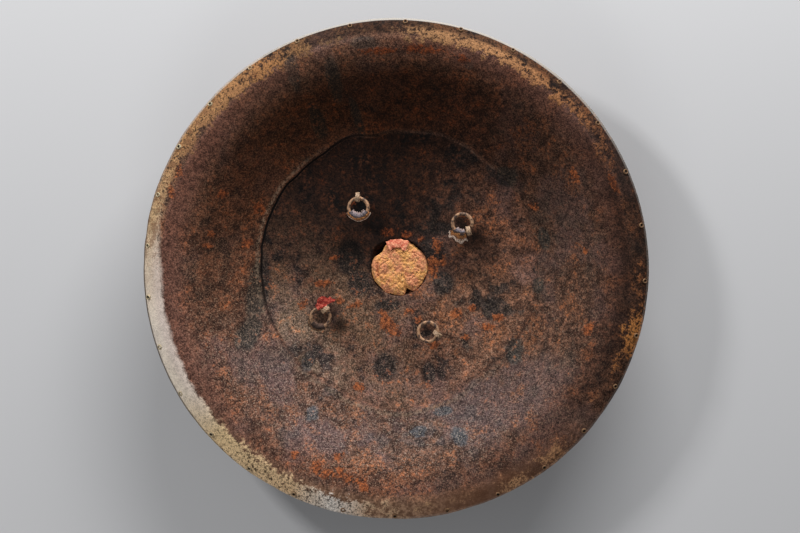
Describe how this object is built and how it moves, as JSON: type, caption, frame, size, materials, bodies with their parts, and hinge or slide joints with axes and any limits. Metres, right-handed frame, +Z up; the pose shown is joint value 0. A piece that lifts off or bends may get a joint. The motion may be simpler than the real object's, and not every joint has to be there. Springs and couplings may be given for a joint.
{
  "type": "buckler shield",
  "caption": "Round rusted iron buckler shield lying hand side up, with a turned-down lip, stepped centre disc, strap rings in iron eyes, stuffed centre boss and domed front bosses.",
  "frame": {"origin": "on the ground under the middle of the shield, which lies on its front bosses", "axes": "+Z points up out of the hand side, +Y towards the top of the shield as it was held, +X to the right as seen from the hand side"},
  "size_m": [0.5, 0.4954, 0.0691],
  "materials": {
    "sheet_iron": "rusted hammered sheet",
    "ring_iron": "rubbed rusty wire and strip",
    "rivet_iron": "crusted rivet heads",
    "wad_fibre": "crumpled dry fibre",
    "strap_leather": "cracked dry leather",
    "red_cloth": "faded woven cloth"
  },
  "bodies": {
    "root": {"shield_body": "sheet_iron", "centre_wad": "wad_fibre", "wad_cloth": "red_cloth", "front_boss_upper_left": "sheet_iron", "ring_eye_upper_left": "ring_iron", "strap_ring_upper_left": "ring_iron", "front_boss_upper_right": "sheet_iron", "ring_eye_upper_right": "ring_iron", "strap_ring_upper_right": "ring_iron", "front_boss_lower_left": "sheet_iron", "ring_eye_lower_left": "ring_iron", "strap_ring_lower_left": "ring_iron", "front_boss_lower_right": "sheet_iron", "ring_eye_lower_right": "ring_iron", "strap_ring_lower_right": "ring_iron", "strap_upper_left": "strap_leather", "strap_upper_right": "strap_leather", "strap_lower_left": "strap_leather", "red_cloth_scrap": "red_cloth", "rim_rivet_01": "rivet_iron", "rim_rivet_02": "rivet_iron", "rim_rivet_03": "rivet_iron", "rim_rivet_04": "rivet_iron", "rim_rivet_05": "rivet_iron", "rim_rivet_06": "rivet_iron", "rim_rivet_07": "rivet_iron", "rim_rivet_08": "rivet_iron", "rim_rivet_09": "rivet_iron", "rim_rivet_10": "rivet_iron", "rim_rivet_11": "rivet_iron", "rim_rivet_12": "rivet_iron", "rim_rivet_13": "rivet_iron", "rim_rivet_14": "rivet_iron", "rim_rivet_15": "rivet_iron", "rim_rivet_16": "rivet_iron", "rim_rivet_17": "rivet_iron", "rim_rivet_18": "rivet_iron", "rim_rivet_19": "rivet_iron", "rim_rivet_20": "rivet_iron", "rim_rivet_21": "rivet_iron", "rim_rivet_22": "rivet_iron", "rim_rivet_23": "rivet_iron", "rim_rivet_24": "rivet_iron", "rim_rivet_25": "rivet_iron", "rim_rivet_26": "rivet_iron", "rim_rivet_27": "rivet_iron", "rim_rivet_28": "rivet_iron", "rim_rivet_29": "rivet_iron"}
  },
  "joints": []
}
